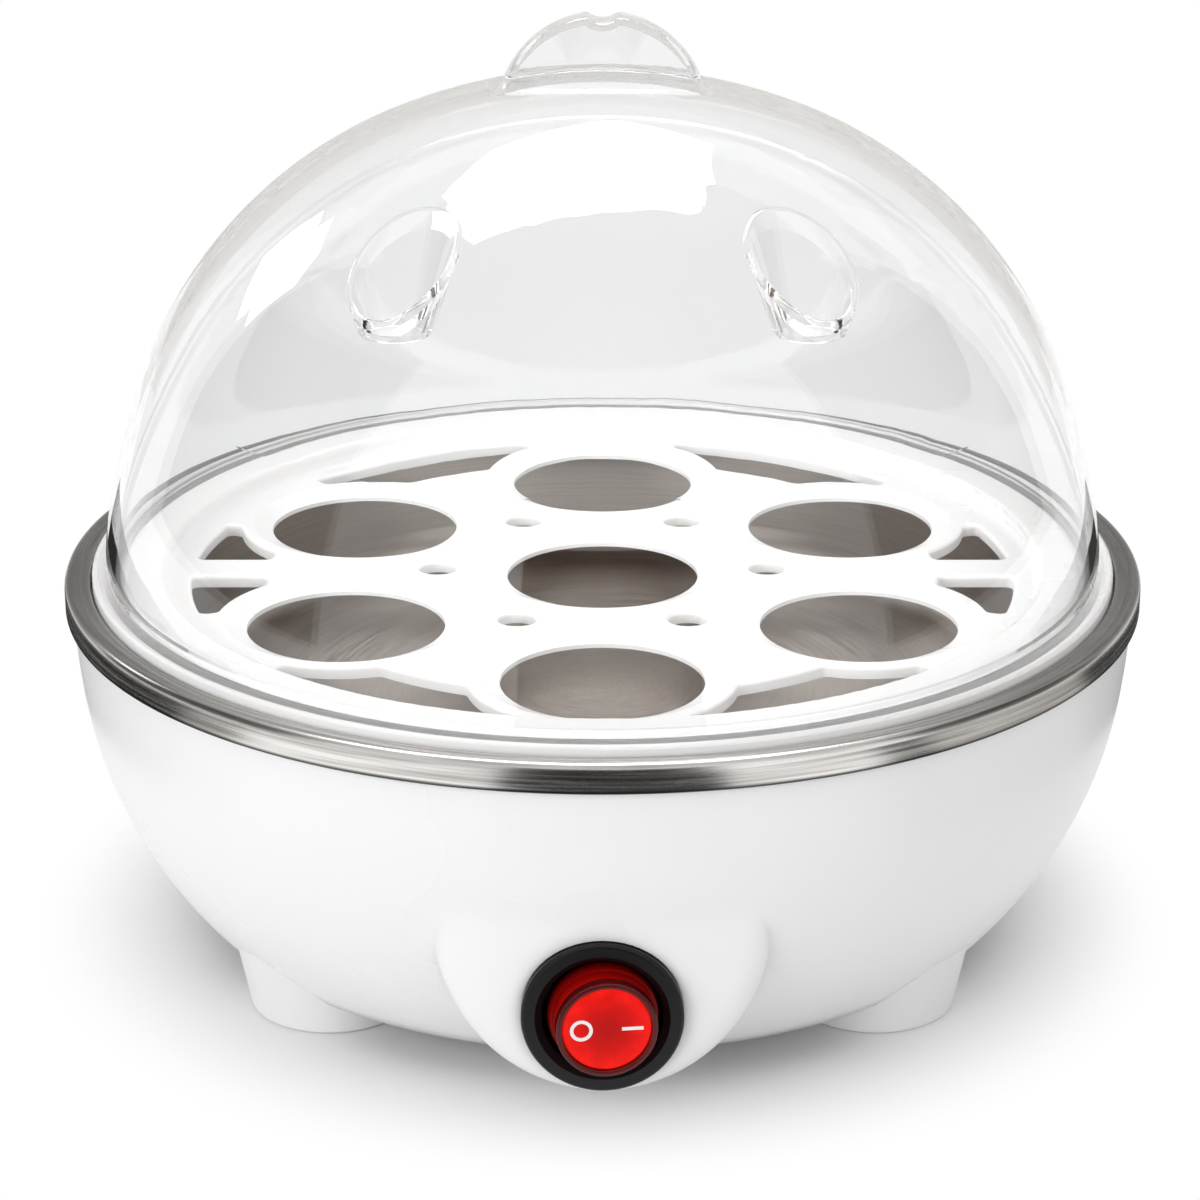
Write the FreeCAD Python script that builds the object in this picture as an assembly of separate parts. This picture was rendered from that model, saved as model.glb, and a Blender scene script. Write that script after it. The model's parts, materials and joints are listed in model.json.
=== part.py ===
import FreeCAD, Part
import math
import os

# An egg cooker: a round white bowl on four feet that holds a heated water pan, a perforated egg tray
# resting in the pan's mouth, and a clear domed lid with a fin handle and two steam vents.
# Millimetres, +Z up, origin on the floor under the middle of the bowl, switch towards -Y.

# Main sizes
RING_R = 86.0
RIM_Z = 61.0
BOTTOM_Z = 5.7
WALL = 2.4

# Bowl outline, from its rim downwards: arc radius and the angle it turns through
BOWL_TOP_R = 84.9
BOWL_ARCS = ((133.0, 7.5), (68.0, 36.0))

# Steel trim ring over the bowl's rim
RING_LOW_Z = 56.4
RING_INNER_R = 81.95
RING_SHEET = 0.8
HOUSING_TOP_Z = 59.9

# Switch boss on the front of the bowl
BOSS_HALF_WIDTH = 24.4
BOSS_CENTRE_Z = 31.0
BOSS_R = 82.0
BOSS_FILLET = 3.5

# Round rocker switch
SWITCH_Z = 20.0
BEZEL_R = 11.8
BEZEL_THICK = 1.9
BEZEL_SEAT_Y = -81.1
BEZEL_WELL_R = 8.8
BARREL_R = 9.9
BARREL_BACK_Y = -62.0
WELL_FLOOR_Y = -72.0
PIVOT_Y = -80.5
ROCKER_TILT = 6.5
ROCKER_BALL_R = 8.1
ROCKER_DISC_R = 7.4
ROCKER_PLANE_Y = -82.6
ROCKER_BACK_Y = -77.0
ROCKER_HOLLOW_R = 5.2
TRUNNION_REACH = 9.5
ROCKER_FACE_Y = -86.2
ROCKER_RIM = 0.7
ROCKER_RECESS = 0.5
TRUNNION_R = 1.0
RUNNING_GAP = 0.05

# Feet, the screws through them and the posts that take the screws
FOOT_PITCH_R = 56.0
FOOT_ANGLES = {"rear_right": 40.8, "rear_left": 139.2, "front_left": 220.8, "front_right": 319.2}
FOOT_LOW_R = 12.7
FOOT_FLARE = 0.2
COVER_THICK = 2.5
SCREW_R = 1.45
SCREW_HEAD_R = 3.0
SCREW_SEAT_Z = 3.8
FOOT_RECESS_R = 3.8
POST_R = 4.2
POST_TOP_Z = 23.0

# Heated pan, its seal and its ledge
LEDGE_TOP_Z = 57.2
LEDGE_INNER_R = 77.0
SEAL_THICK = 0.8
PAN_SHEET = 0.8
PAN_FLOOR_Z = 38.0
PAN_FLANGE_R = 81.4
PAN_MOUTH_R = 72.4
PAN_FLOOR_R = 66.5

# Heater under the pan
STUD_PITCH_R = 20.0
STUD_ANGLES = (90.0, 210.0, 330.0)
STUD_R = 2.0
SPREADER_R = 44.0
SPREADER_THICK = 3.0
ELEMENT_R = 3.3
ELEMENT_PITCH_R = 36.0
ELEMENT_GAP_ANGLE = 25.0
ELEMENT_BEND_R = 7.0
ELEMENT_END_Z = 19.0
SEAL_PLUG_HEIGHT = 1.5
PIN_R = 1.2
PIN_LOW_Z = 14.0
CLAMP_THICK = 1.5
NUT_HEIGHT = 3.2
NUT_FLATS = 7.0
THERMOSTAT_R = 8.0
THERMOSTAT_LOW_Z = 22.0
THERMOSTAT_FLANGE_THICK = 0.8
THERMOSTAT_SCREW_X = 12.0
THERMOSTAT_SCREW_R = 1.45
TERMINAL_OFFSET = 5.0
BLADE_LENGTH = 7.0
BLADE_WIDTH = 4.8
BLADE_THICK = 0.8
FUSE_R = 2.5
FUSE_HALF_LENGTH = 10.0
FUSE_Y = 30.0
LEAD_R = 1.1

# Cord inlet at the back
GLAND_Z = 20.5
GLAND_BORE_R = 3.3
GLAND_BARREL_R = 5.3
GLAND_PAD_R = 8.8
GLAND_PAD_Y = 80.5
GLAND_SEAT_Y = 68.0

# Egg tray
TRAY_R = 81.6
TRAY_WALL_R = 71.6
TRAY_REST_Z = 58.8
TRAY_SEAT_Z = 61.2
PLATE_TOP_Z = 58.8
PLATE_THICK = 2.0
EGG_PITCH_R = 46.0
EGG_HOLE_R = 15.4
EGG_DISH_R = 18.6
EGG_DISH_DEPTH = 1.3
EGG_RING_R = 20.5
OPENING_INNER_R = 54.0
OPENING_OUTER_R = 66.0
OPENING_HALF_ANGLE = 18.5
OPENING_CORNER_R = 1.2
OPENING_EDGE_ROUND = 0.7
SPOKE_WIDTH = 8.0
STEAM_HOLE_R = 3.0

# Lid: dome outline from its top outwards, handle and vents
LID_TOP_Z = 138.5
LID_WALL = 1.8
LID_ARCS = ((89.0, 23.5), (69.0, 43.5), (108.0, 16.4))
LID_FOOT_R = 77.0
LID_FOOT_HEIGHT = 1.6
HANDLE_TOP_Z = 148.9
HANDLE_ARCH_R = 16.5
HANDLE_WALL = 1.3
HANDLE_HALF_LENGTH = 17.0
HANDLE_LOW_Z = 130.0
HANDLE_LOW_HALF_WIDTH = 8.6
HANDLE_HIGH_Z = 152.0
HANDLE_HIGH_HALF_WIDTH = 1.9
HANDLE_NOTCH_R = 3.4
HANDLE_NOTCH_DEPTH = 1.1
HANDLE_NOTCH_ROUND = 1.5
HANDLE_EDGE_ROUND = 1.2
HANDLE_SEAM_ROUND = 3.5
VENT_X = 29.9
VENT_Y = -45.1
VENT_LOW_Z = 111.1
VENT_LOW_R = 5.2
VENT_SLOPE = 0.36
VENT_WALL = 1.35
VENT_LIP = 0.9
VENT_EDGE_ROUND = 0.6
VENT_TOP_Z = 134.0

# Heights that follow from the sizes above
PAN_UNDER_Z = PAN_FLOOR_Z - PAN_SHEET
SPREADER_LOW_Z = PAN_UNDER_Z - SPREADER_THICK
ELEMENT_Z = SPREADER_LOW_Z - ELEMENT_R - RUNNING_GAP
CLAMP_TOP_Z = ELEMENT_Z - ELEMENT_R - RUNNING_GAP
CLAMP_LOW_Z = CLAMP_TOP_Z - CLAMP_THICK
FUSE_Z = CLAMP_LOW_Z - FUSE_R - RUNNING_GAP
COVER_TOP_Z = BOTTOM_Z + COVER_THICK

ORIGIN = FreeCAD.Vector(0, 0, 0)
UP = FreeCAD.Vector(0, 0, 1)
FRONT = FreeCAD.Vector(0, -1, 0)
CLEARANCE = 0.2
FAR = 200.0


def polar(radius, angle, z=0.0):
    """The point at a radius and an angle in degrees about the Z axis."""
    turn = math.radians(angle)
    return FreeCAD.Vector(radius * math.cos(turn), radius * math.sin(turn), z)


def section_point(r, z):
    """A point of an outline that is drawn in the XZ plane."""
    return FreeCAD.Vector(r, 0, z)


def straight(start, end):
    return Part.LineSegment(start, end).toShape()


def corner_arc(before, corner, after, radius):
    """The three points of an arc that rounds a corner: where it starts, its middle and where it ends."""
    back = (before - corner).normalize()
    ahead = (after - corner).normalize()
    half_angle = back.getAngle(ahead) / 2
    reach = radius / math.tan(half_angle)
    bisector = (back + ahead).normalize()
    middle = corner + bisector * (radius / math.sin(half_angle) - radius)
    return corner + back * reach, middle, corner + ahead * reach


def outline(corners):
    """A closed wire in the XZ plane through corners (r, z), or (r, z, radius) where one is rounded."""
    points = [section_point(corner[0], corner[1]) for corner in corners]
    stretches = []
    for index, corner in enumerate(corners):
        if len(corner) == 2:
            stretches.append((points[index],))
        else:
            after = points[(index + 1) % len(points)]
            stretches.append(corner_arc(points[index - 1], points[index], after, corner[2]))
    edges = []
    for index, stretch in enumerate(stretches):
        if len(stretch) == 3:
            edges.append(Part.Arc(*stretch).toShape())
        following = stretches[(index + 1) % len(stretches)][0]
        edges.append(straight(stretch[-1], following))
    return Part.Wire(edges)


def spun(wire):
    """The solid that a closed wire in the XZ plane sweeps about the Z axis."""
    return Part.Face(wire).revolve(ORIGIN, UP, 360)


def disc(radius, low_z, high_z, x=0.0, y=0.0):
    """An upright cylinder."""
    return Part.makeCylinder(radius, high_z - low_z, FreeCAD.Vector(x, y, low_z))


def rod(radius, front_y, back_y, x=0.0, z=0.0):
    """A cylinder along Y."""
    return Part.makeCylinder(radius, back_y - front_y, FreeCAD.Vector(x, front_y, z), FreeCAD.Vector(0, 1, 0))


def block(low, high):
    """A box between two corners."""
    size = [high[axis] - low[axis] for axis in range(3)]
    return Part.makeBox(*size, FreeCAD.Vector(*low))


def united(shapes):
    """One solid made of shapes that touch or overlap."""
    return shapes[0].multiFuse(shapes[1:]).removeSplitter()


def turned(shape, angle, centre=ORIGIN):
    """A copy of a shape, turned about the vertical through a point."""
    copy = shape.copy()
    copy.rotate(centre, UP, angle)
    return copy


def tangent_arcs(start, heading, arcs):
    """Arcs in the XZ plane that follow one another smoothly, bending clockwise: edges, end and heading."""
    edges = []
    r, z = start
    for radius, turn in arcs:
        angles = [math.radians(heading - turn * share) for share in (0.0, 0.5, 1.0)]
        centre_r = r + radius * math.sin(angles[0])
        centre_z = z - radius * math.cos(angles[0])
        points = []
        for angle in angles:
            across, along = radius * math.sin(angle), radius * math.cos(angle)
            points.append(section_point(centre_r - across, centre_z + along))
        edges.append(Part.Arc(*points).toShape())
        r, z = points[-1].x, points[-1].z
        heading -= turn
    return edges, (r, z), heading


def bowl_form(inset):
    """The bowl's outer form, filled, drawn in by inset or swelled where inset is negative."""
    top = (BOWL_TOP_R - inset, RIM_Z)
    arcs = [(radius - inset, turn) for radius, turn in BOWL_ARCS]
    edges, (end_r, end_z), _ = tangent_arcs(top, -90.0, arcs)
    corners = [(end_r, end_z), (end_r, -FAR), (0, -FAR), (0, RIM_Z), top]
    points = [section_point(*corner) for corner in corners]
    for start, end in zip(points, points[1:]):
        edges.append(straight(start, end))
    form = spun(Part.Wire(edges))
    return form.common(disc(FAR, BOTTOM_Z, FAR))


def boss_form(inset):
    """The upright rounded boss that carries the switch, filled back to the bowl's middle."""
    half = BOSS_HALF_WIDTH - inset
    left, right = section_point(-half, BOSS_CENTRE_Z), section_point(half, BOSS_CENTRE_Z)
    left_top, right_top = section_point(-half, RIM_Z), section_point(half, RIM_Z)
    low = section_point(0, BOSS_CENTRE_Z - half)
    edges = [Part.Arc(left, low, right).toShape()]
    edges += [straight(right, right_top), straight(right_top, left_top), straight(left_top, left)]
    prism = Part.Face(Part.Wire(edges)).extrude(FRONT * FAR)
    return prism.common(disc(BOSS_R - inset, 0, RIM_Z))


def front_edges(shape, radius):
    """The edges that lie on an upright cylinder below the rim."""
    chosen = []
    for edge in shape.Edges:
        middle = edge.valueAt((edge.FirstParameter + edge.LastParameter) / 2)
        on_cylinder = abs(math.hypot(middle.x, middle.y) - radius) < 0.01
        if on_cylinder and middle.z < RIM_Z - 0.1:
            chosen.append(edge)
    return chosen


def foot_centres():
    return {name: polar(FOOT_PITCH_R, angle) for name, angle in FOOT_ANGLES.items()}


def make_housing():
    """Bowl shell with its switch boss, pan ledge, screw posts and the pad for the cord's gland."""
    boss = boss_form(0)
    boss = boss.makeFillet(BOSS_FILLET, front_edges(boss, BOSS_R))
    outside = united([bowl_form(0), boss])
    shell = outside.cut(united([bowl_form(WALL), boss_form(WALL)]))
    ledge = disc(BOWL_TOP_R - WALL / 2, LEDGE_TOP_Z - WALL, LEDGE_TOP_Z).cut(disc(LEDGE_INNER_R, 0, RIM_Z))
    pieces = [shell, ledge, rod(GLAND_PAD_R, GLAND_SEAT_Y, GLAND_PAD_Y, z=GLAND_Z)]
    for name, angle in FOOT_ANGLES.items():
        centre = foot_centres()[name]
        rib = block((FOOT_PITCH_R, -WALL / 2, COVER_TOP_Z), (BOWL_TOP_R, WALL / 2, POST_TOP_Z))
        pieces.append(disc(POST_R, COVER_TOP_Z, POST_TOP_Z, centre.x, centre.y))
        pieces.append(turned(rib, angle).common(bowl_form(WALL / 2)))
    cuts = [disc(FAR, HOUSING_TOP_Z, FAR)]
    cuts.append(rod(BEZEL_R + CLEARANCE, -FAR, BEZEL_SEAT_Y, z=SWITCH_Z))
    cuts.append(rod(BARREL_R + CLEARANCE, -FAR, BARREL_BACK_Y, z=SWITCH_Z))
    cuts.append(rod(GLAND_BARREL_R + CLEARANCE, GLAND_SEAT_Y, FAR, z=GLAND_Z))
    for centre in foot_centres().values():
        cuts.append(disc(SCREW_R + RUNNING_GAP, 0, POST_TOP_Z - WALL, centre.x, centre.y))
    return united(pieces).cut(Part.makeCompound(cuts))


def make_bottom_cover():
    """Flat cover inside the bowl's lower edge, with screw holes and a ring of cooling slots."""
    slot_count = 10
    slot_low_r, slot_high_r, slot_half_width = 16.0, 34.0, 1.5
    cover = disc(FAR, BOTTOM_Z, COVER_TOP_Z).common(bowl_form(WALL + 2 * CLEARANCE))
    slot = block((slot_low_r, -slot_half_width, 0), (slot_high_r, slot_half_width, RIM_Z))
    slot = united([slot] + [disc(slot_half_width, 0, RIM_Z, x) for x in (slot_low_r, slot_high_r)])
    cuts = [turned(slot, 360.0 / slot_count * (index + 0.5)) for index in range(slot_count)]
    cuts += [disc(SCREW_R + CLEARANCE, 0, RIM_Z, centre.x, centre.y) for centre in foot_centres().values()]
    return cover.cut(Part.makeCompound(cuts))


def make_foot(centre):
    """Wide tapered foot under the bowl's edge, with a recess for its screw."""
    tall = 3 * BOTTOM_Z
    edge_round = 0.8
    top_r = FOOT_LOW_R + FOOT_FLARE * tall
    foot = spun(outline([(0, 0), (FOOT_LOW_R, 0, edge_round), (top_r, tall), (0, tall)]))
    recess = disc(FOOT_RECESS_R, 0, SCREW_SEAT_Z)
    foot = foot.cut(recess).cut(disc(SCREW_R + CLEARANCE, 0, tall))
    foot.translate(centre)
    return foot.cut(bowl_form(0))


def make_cover_screws():
    """Pan-head screws, one up through each foot and the cover into a post."""
    head_low_z, head_round = 1.6, 0.8
    slot_half_width, slot_depth = 0.4, 0.9
    head = spun(outline([
        (0, head_low_z), (SCREW_HEAD_R, head_low_z, head_round), (SCREW_HEAD_R, SCREW_SEAT_Z), (0, SCREW_SEAT_Z)]))
    slot = block((-slot_half_width, -FAR, 0), (slot_half_width, FAR, head_low_z + slot_depth))
    screw = head.cut(slot).fuse(disc(SCREW_R, SCREW_SEAT_Z, POST_TOP_Z - 2 * WALL))
    screws = []
    for centre in foot_centres().values():
        copy = screw.copy()
        copy.translate(centre)
        screws.append(copy)
    return Part.makeCompound(screws)


def make_trim_ring():
    """Folded steel band: outer face, rounded crest, top face sloping inwards and a short inner lip."""
    crest_round, edge_round = 1.2, 0.3
    inner_z, lip_low_z = 60.5, 58.4
    lip_outer_r = RING_INNER_R + RING_SHEET / 2
    band_inner_r = RING_R - RING_SHEET
    return spun(outline([
        (RING_R, RING_LOW_Z, edge_round), (RING_R, RIM_Z, crest_round), (RING_INNER_R, inner_z, edge_round),
        (RING_INNER_R, lip_low_z), (lip_outer_r, lip_low_z), (lip_outer_r, HOUSING_TOP_Z),
        (band_inner_r, HOUSING_TOP_Z), (band_inner_r, RING_LOW_Z)]))


def make_heating_pan():
    """Pressed steel pan that holds the water, with a flange that lies on the seal."""
    under_z = LEDGE_TOP_Z + SEAL_THICK
    top_z = under_z + PAN_SHEET
    floor_round, mouth_round = 8.0, 1.4
    return spun(outline([
        (0, PAN_FLOOR_Z), (PAN_FLOOR_R, PAN_FLOOR_Z, floor_round),
        (PAN_MOUTH_R, top_z, mouth_round + PAN_SHEET), (PAN_FLANGE_R, top_z),
        (PAN_FLANGE_R, under_z), (PAN_MOUTH_R + PAN_SHEET, under_z, mouth_round),
        (PAN_FLOOR_R + PAN_SHEET, PAN_UNDER_Z, floor_round + PAN_SHEET), (0, PAN_UNDER_Z)]))


def make_pan_seal():
    """Flat silicone ring between the ledge and the pan's flange."""
    ring = disc(PAN_FLANGE_R, LEDGE_TOP_Z, LEDGE_TOP_Z + SEAL_THICK)
    return ring.cut(disc(LEDGE_INNER_R + CLEARANCE, 0, RIM_Z))


def stud_centres():
    return [polar(STUD_PITCH_R, angle) for angle in STUD_ANGLES]


def make_pan_studs():
    """Threaded studs welded under the pan."""
    thread_beyond_nut = 2.0
    low_z = CLAMP_LOW_Z - NUT_HEIGHT - thread_beyond_nut
    studs = [disc(STUD_R, low_z, PAN_UNDER_Z, centre.x, centre.y) for centre in stud_centres()]
    return Part.makeCompound(studs)


def make_heater_spreader():
    """Aluminium disc that carries the heat from the element to the pan."""
    screw_hole_depth = 2.2
    spreader = disc(SPREADER_R, SPREADER_LOW_Z, PAN_UNDER_Z)
    cuts = [disc(STUD_R + CLEARANCE, 0, RIM_Z, centre.x, centre.y) for centre in stud_centres()]
    for side in (-1, 1):
        x = side * THERMOSTAT_SCREW_X
        cuts.append(disc(THERMOSTAT_SCREW_R + RUNNING_GAP, 0, SPREADER_LOW_Z + screw_hole_depth, x))
    return spreader.cut(Part.makeCompound(cuts))


def element_end(side):
    """Where the element's ring ends, on the right (side 1) or the left (side -1), and which way it leaves."""
    end = polar(ELEMENT_PITCH_R, 270.0 + side * ELEMENT_GAP_ANGLE)
    leaving = polar(side, 180.0 + side * ELEMENT_GAP_ANGLE)
    return end, leaving


def make_heater_tube():
    """Sheathed element: most of a circle, with both ends bent down."""
    lift = UP * ELEMENT_Z
    ends, bends, legs = [], [], []
    for side in (1, -1):
        plan_end, leaving = element_end(side)
        end = plan_end + lift
        centre = end - UP * ELEMENT_BEND_R
        middle = centre + (leaving + UP).normalize() * ELEMENT_BEND_R
        low = centre + leaving * ELEMENT_BEND_R
        ends.append(end)
        bends.append(Part.Arc(end, middle, low).toShape())
        legs.append(straight(low, FreeCAD.Vector(low.x, low.y, ELEMENT_END_Z)))
    ring = Part.Arc(ends[0], polar(ELEMENT_PITCH_R, 90.0, ELEMENT_Z), ends[1]).toShape()
    route = Part.Wire(Part.__sortEdges__([legs[0], bends[0], ring, bends[1], legs[1]]))
    section = Part.Wire(Part.makeCircle(ELEMENT_R, route.OrderedVertexes[0].Point, UP))
    return route.makePipeShell([section], True, False)


def leg_centres():
    """The plan positions of the element's two legs."""
    centres = []
    for side in (1, -1):
        end, leaving = element_end(side)
        centres.append(end + leaving * ELEMENT_BEND_R)
    return centres


def make_heater_end_seals():
    """Silicone plugs that close the element's ends."""
    seals = []
    for centre in leg_centres():
        plug = disc(ELEMENT_R, ELEMENT_END_Z - SEAL_PLUG_HEIGHT, ELEMENT_END_Z, centre.x, centre.y)
        seals.append(plug.cut(disc(PIN_R + RUNNING_GAP, 0, RIM_Z, centre.x, centre.y)))
    return Part.makeCompound(seals)


def make_heater_pins():
    """Terminal pins of the element."""
    pins = [disc(PIN_R, PIN_LOW_Z, ELEMENT_END_Z, centre.x, centre.y) for centre in leg_centres()]
    return Part.makeCompound(pins)


def make_heater_clamp():
    """Pressed plate with three arms that holds the element up against the spreader."""
    hub_r, arm_reach, arm_width, hole_r = 26.0, 41.0, 12.0, 11.0
    pieces = [disc(hub_r, CLAMP_LOW_Z, CLAMP_TOP_Z)]
    for angle in STUD_ANGLES:
        arm = block((STUD_PITCH_R, -arm_width / 2, CLAMP_LOW_Z), (arm_reach, arm_width / 2, CLAMP_TOP_Z))
        pieces.append(turned(arm, angle))
    plate = united(pieces)
    cuts = [disc(hole_r, 0, RIM_Z)]
    cuts += [disc(STUD_R + CLEARANCE, 0, RIM_Z, centre.x, centre.y) for centre in stud_centres()]
    return plate.cut(Part.makeCompound(cuts))


def make_pan_nuts():
    """Hexagon nuts on the studs."""
    corner_r = NUT_FLATS / math.sqrt(3)
    nuts = []
    for centre in stud_centres():
        corners = [centre + polar(corner_r, 60.0 * index, CLAMP_LOW_Z - NUT_HEIGHT) for index in range(7)]
        nut = Part.Face(Part.makePolygon(corners)).extrude(UP * NUT_HEIGHT)
        nuts.append(nut.cut(disc(STUD_R + RUNNING_GAP, 0, RIM_Z, centre.x, centre.y)))
    return Part.makeCompound(nuts)


def make_thermostat_flange():
    """Metal flange of the bimetal thermostat, screwed to the spreader."""
    high_z = SPREADER_LOW_Z
    low_z = high_z - THERMOSTAT_FLANGE_THICK
    ear_r, rim_width = 4.0, 1.0
    sides = (-THERMOSTAT_SCREW_X, THERMOSTAT_SCREW_X)
    pieces = [disc(THERMOSTAT_R + rim_width, low_z, high_z)]
    pieces.append(block((sides[0], -ear_r, low_z), (sides[1], ear_r, high_z)))
    pieces += [disc(ear_r, low_z, high_z, x) for x in sides]
    holes = [disc(THERMOSTAT_SCREW_R + CLEARANCE, 0, RIM_Z, x) for x in sides]
    return united(pieces).cut(Part.makeCompound(holes))


def make_thermostat_body():
    """Moulded body of the thermostat."""
    high_z = SPREADER_LOW_Z - THERMOSTAT_FLANGE_THICK
    edge_round = 0.8
    return spun(outline([(0, THERMOSTAT_LOW_Z), (THERMOSTAT_R, THERMOSTAT_LOW_Z, edge_round),
                         (THERMOSTAT_R, high_z), (0, high_z)]))


def make_thermostat_terminals():
    """Two blades under the thermostat."""
    low_z = THERMOSTAT_LOW_Z - BLADE_LENGTH
    blades = []
    for x in (-TERMINAL_OFFSET, TERMINAL_OFFSET):
        blades.append(block((x - BLADE_THICK / 2, -BLADE_WIDTH / 2, low_z),
                            (x + BLADE_THICK / 2, BLADE_WIDTH / 2, THERMOSTAT_LOW_Z)))
    return Part.makeCompound(blades)


def make_thermostat_screws():
    """Two screws that hold the thermostat's flange to the spreader."""
    head_r, head_height, thread = 2.6, 2.0, 2.0
    flange_low_z = SPREADER_LOW_Z - THERMOSTAT_FLANGE_THICK
    screws = []
    for side in (-1, 1):
        x = side * THERMOSTAT_SCREW_X
        head = disc(head_r, flange_low_z - head_height, flange_low_z, x)
        screws.append(head.fuse(disc(THERMOSTAT_SCREW_R, flange_low_z, SPREADER_LOW_Z + thread, x)))
    return Part.makeCompound(screws)


def make_thermal_fuse():
    """Thermal cut-out in its sleeve, lying against the clamp."""
    start = FreeCAD.Vector(-FUSE_HALF_LENGTH, FUSE_Y, FUSE_Z)
    return Part.makeCylinder(FUSE_R, 2 * FUSE_HALF_LENGTH, start, FreeCAD.Vector(1, 0, 0))


def make_lead(points):
    """An insulated wire along straight runs, joined by arcs that take up most of the shorter run."""
    bend_share = 0.45
    corners = [FreeCAD.Vector(*point) for point in points]
    edges = []
    position = corners[0]
    for before, corner, after in zip(corners, corners[1:], corners[2:]):
        half_turn = math.pi / 2 - (before - corner).getAngle(after - corner) / 2
        shorter = min((before - corner).Length, (after - corner).Length)
        radius = bend_share * shorter / math.tan(half_turn)
        start, middle, end = corner_arc(before, corner, after, radius)
        edges += [straight(position, start), Part.Arc(start, middle, end).toShape()]
        position = end
    edges.append(straight(position, corners[-1]))
    section = Part.Wire(Part.makeCircle(LEAD_R, corners[0], corners[1] - corners[0]))
    return Part.Wire(edges).makePipeShell([section], True, False)


def lead_routes():
    """Where each wire runs, from one terminal to the next."""
    right_leg, left_leg = leg_centres()
    blade_low_z = THERMOSTAT_LOW_Z - BLADE_LENGTH
    blade_back_y = BARREL_BACK_Y + BLADE_LENGTH
    floor_z = 10.4
    return {
        "lead_switch_to_thermostat": [
            (TERMINAL_OFFSET, blade_back_y, SWITCH_Z), (TERMINAL_OFFSET, -47, SWITCH_Z), (1, -40, 11),
            (1, -12, floor_z), (TERMINAL_OFFSET, 0, floor_z), (TERMINAL_OFFSET, 0, blade_low_z)],
        "lead_switch_to_heater": [
            (-TERMINAL_OFFSET, blade_back_y, SWITCH_Z), (-TERMINAL_OFFSET, -48, SWITCH_Z), (-17, -43, 13),
            (left_leg.x, left_leg.y, floor_z), (left_leg.x, left_leg.y, PIN_LOW_Z)],
        "lead_thermostat_to_fuse": [
            (-TERMINAL_OFFSET, 0, blade_low_z), (-TERMINAL_OFFSET, 0, floor_z), (-17, 9, floor_z + 1),
            (-22, FUSE_Y, FUSE_Z), (-FUSE_HALF_LENGTH, FUSE_Y, FUSE_Z)],
        "lead_fuse_to_heater": [
            (FUSE_HALF_LENGTH, FUSE_Y, FUSE_Z), (21, FUSE_Y, FUSE_Z), (28, 14, 15), (27, -18, floor_z),
            (right_leg.x, right_leg.y, floor_z), (right_leg.x, right_leg.y, PIN_LOW_Z)],
    }


def switch_pivot():
    return FreeCAD.Vector(0, PIVOT_Y, SWITCH_Z)


def make_switch_body():
    """Black round bezel and barrel with the well that the rocker tilts in."""
    edge_round, bevel_size, pivot_reach = 0.6, 1.0, TRUNNION_REACH + CLEARANCE
    front_y = BEZEL_SEAT_Y - BEZEL_THICK
    bezel = rod(BEZEL_R, front_y, BEZEL_SEAT_Y, z=SWITCH_Z)
    front_rim = [edge for edge in bezel.Edges if edge.BoundBox.YMax < front_y + CLEARANCE]
    bezel = bezel.makeFillet(edge_round, front_rim)
    barrel = rod(BARREL_R, BEZEL_SEAT_Y, BARREL_BACK_Y, z=SWITCH_Z)
    well = rod(BEZEL_WELL_R, -FAR, WELL_FLOOR_Y, z=SWITCH_Z)
    bevel_start = FreeCAD.Vector(0, front_y, SWITCH_Z)
    bevel = Part.makeCone(BEZEL_WELL_R + bevel_size, BEZEL_WELL_R, bevel_size, bevel_start, FRONT * -1)
    pivot = disc(TRUNNION_R + RUNNING_GAP, SWITCH_Z - pivot_reach, SWITCH_Z + pivot_reach, 0, PIVOT_Y)
    return united([bezel, barrel]).cut(well).cut(bevel).cut(pivot)


def make_switch_rocker():
    """Red rocker: a ball-shaped root that turns in the well, and a raised disc with a rim."""
    face_thick = 1.0
    root = Part.makeSphere(ROCKER_BALL_R, switch_pivot())
    root = root.common(rod(FAR, ROCKER_PLANE_Y, ROCKER_BACK_Y, z=SWITCH_Z))
    cap = rod(ROCKER_DISC_R, ROCKER_FACE_Y - ROCKER_RECESS, ROCKER_PLANE_Y, z=SWITCH_Z)
    face = rod(ROCKER_DISC_R - ROCKER_RIM, -FAR, ROCKER_FACE_Y, z=SWITCH_Z)
    hollow = rod(ROCKER_HOLLOW_R, ROCKER_PLANE_Y - face_thick, FAR, z=SWITCH_Z)
    pins = disc(TRUNNION_R, SWITCH_Z - TRUNNION_REACH, SWITCH_Z + TRUNNION_REACH, 0, PIVOT_Y)
    rocker = united([root, cap, pins]).cut(face).cut(hollow)
    return turned(rocker, ROCKER_TILT, switch_pivot())


def make_rocker_marks():
    """Printed ring and bar on the rocker's face."""
    mark_x, mark_thick = 3.7, 0.12
    ring_r, stroke, bar_half_length = 1.65, 0.5, 1.55
    front_y = ROCKER_FACE_Y - mark_thick
    ring = rod(ring_r, front_y, ROCKER_FACE_Y, -mark_x, SWITCH_Z)
    ring = ring.cut(rod(ring_r - stroke, -FAR, FAR, -mark_x, SWITCH_Z))
    bar = block((mark_x - bar_half_length, front_y, SWITCH_Z - stroke / 2),
                (mark_x + bar_half_length, ROCKER_FACE_Y, SWITCH_Z + stroke / 2))
    return Part.makeCompound([turned(mark, ROCKER_TILT, switch_pivot()) for mark in (ring, bar)])


def make_switch_lamp():
    """Small glow lamp behind the rocker's face."""
    lamp_r, lamp_front_y = 1.4, -79.0
    return rod(lamp_r, lamp_front_y, WELL_FLOOR_Y, z=SWITCH_Z)


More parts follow.
